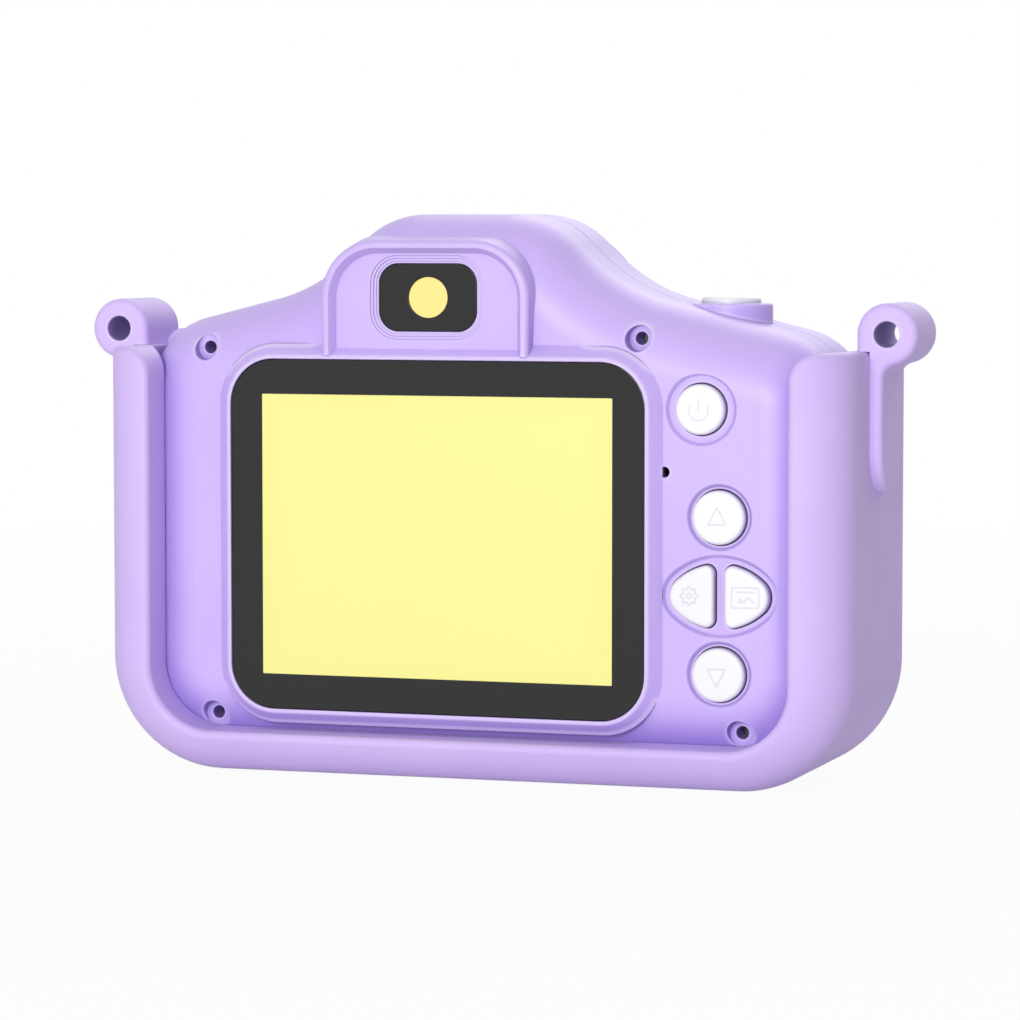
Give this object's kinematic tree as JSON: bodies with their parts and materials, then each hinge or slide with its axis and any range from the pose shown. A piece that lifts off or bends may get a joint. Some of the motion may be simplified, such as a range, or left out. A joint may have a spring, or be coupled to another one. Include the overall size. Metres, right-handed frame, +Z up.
{
  "type": "kids digital camera",
  "caption": "Small children's digital camera in a soft sleeve, with a rear screen, an eyepiece hump, press buttons and strap lugs.",
  "frame": {"origin": "middle of the sleeve's flat base, half way through the sleeve's depth", "axes": "+X to the right as seen from the screen, +Y towards the lens side, +Z up"},
  "size_m": [0.0968, 0.0455, 0.0626],
  "materials": {
    "housing": "matte, lilac",
    "sleeve": "matte silicone, lilac",
    "caps": "satin, white",
    "screen": "gloss, black border",
    "lens_yellow": "gloss, pale yellow",
    "window_black": "gloss, black",
    "clear": "clear",
    "adhesive": "matte foam tape, black",
    "display": "display module",
    "black_plastic": "matte, black",
    "board": "solder mask, green",
    "steel": "plated steel",
    "screw": "zinc plated",
    "battery": "pouch foil",
    "led": "phosphor"
  },
  "bodies": {
    "camera": {"battery": "battery", "board_screws": "screw", "card_socket": "steel", "eyepiece_window": "window_black", "flash_led": "led", "flash_lens": "clear", "front_camera_module": "black_plastic", "front_lens_glass": "clear", "front_shell": "housing", "housing_screws": "screw", "lcd_holder": "black_plastic", "lcd_module": "display", "left_strap_lug": "sleeve", "lens_barrel": "housing", "lens_trim_ring": "caps", "main_board": "board", "microphone": "steel", "rear_camera_module": "black_plastic", "rear_lens": "lens_yellow", "rear_shell": "housing", "right_strap_lug": "sleeve", "screen_window": "screen", "shutter_board": "board", "shutter_collar": "housing", "shutter_switch": "steel", "silicone_sleeve": "sleeve", "speaker": "black_plastic", "tact_switches": "steel", "usb_port": "steel", "window_adhesive": "adhesive"},
    "power_button": {"power_button": "caps"},
    "up_button": {"up_button": "caps"},
    "down_button": {"down_button": "caps"},
    "settings_button": {"settings_button": "caps"},
    "gallery_button": {"gallery_button": "caps"},
    "shutter_button": {"shutter_button": "caps"}
  },
  "joints": [
    {"name": "power_button_press", "type": "slide", "parent": "camera", "child": "power_button", "axis": [0, 1, 0], "range_m": [0, 0.0005], "stiffness_N_per_m": 600},
    {"name": "up_button_press", "type": "slide", "parent": "camera", "child": "up_button", "axis": [0, 1, 0], "range_m": [0, 0.0005], "stiffness_N_per_m": 600},
    {"name": "down_button_press", "type": "slide", "parent": "camera", "child": "down_button", "axis": [0, 1, 0], "range_m": [0, 0.0005], "stiffness_N_per_m": 600},
    {"name": "settings_button_press", "type": "slide", "parent": "camera", "child": "settings_button", "axis": [0, 1, 0], "range_m": [0, 0.0005], "stiffness_N_per_m": 600},
    {"name": "gallery_button_press", "type": "slide", "parent": "camera", "child": "gallery_button", "axis": [0, 1, 0], "range_m": [0, 0.0005], "stiffness_N_per_m": 600},
    {"name": "shutter_press", "type": "slide", "parent": "camera", "child": "shutter_button", "axis": [0, 0, -1], "range_m": [0, 0.0006], "stiffness_N_per_m": 600}
  ]
}
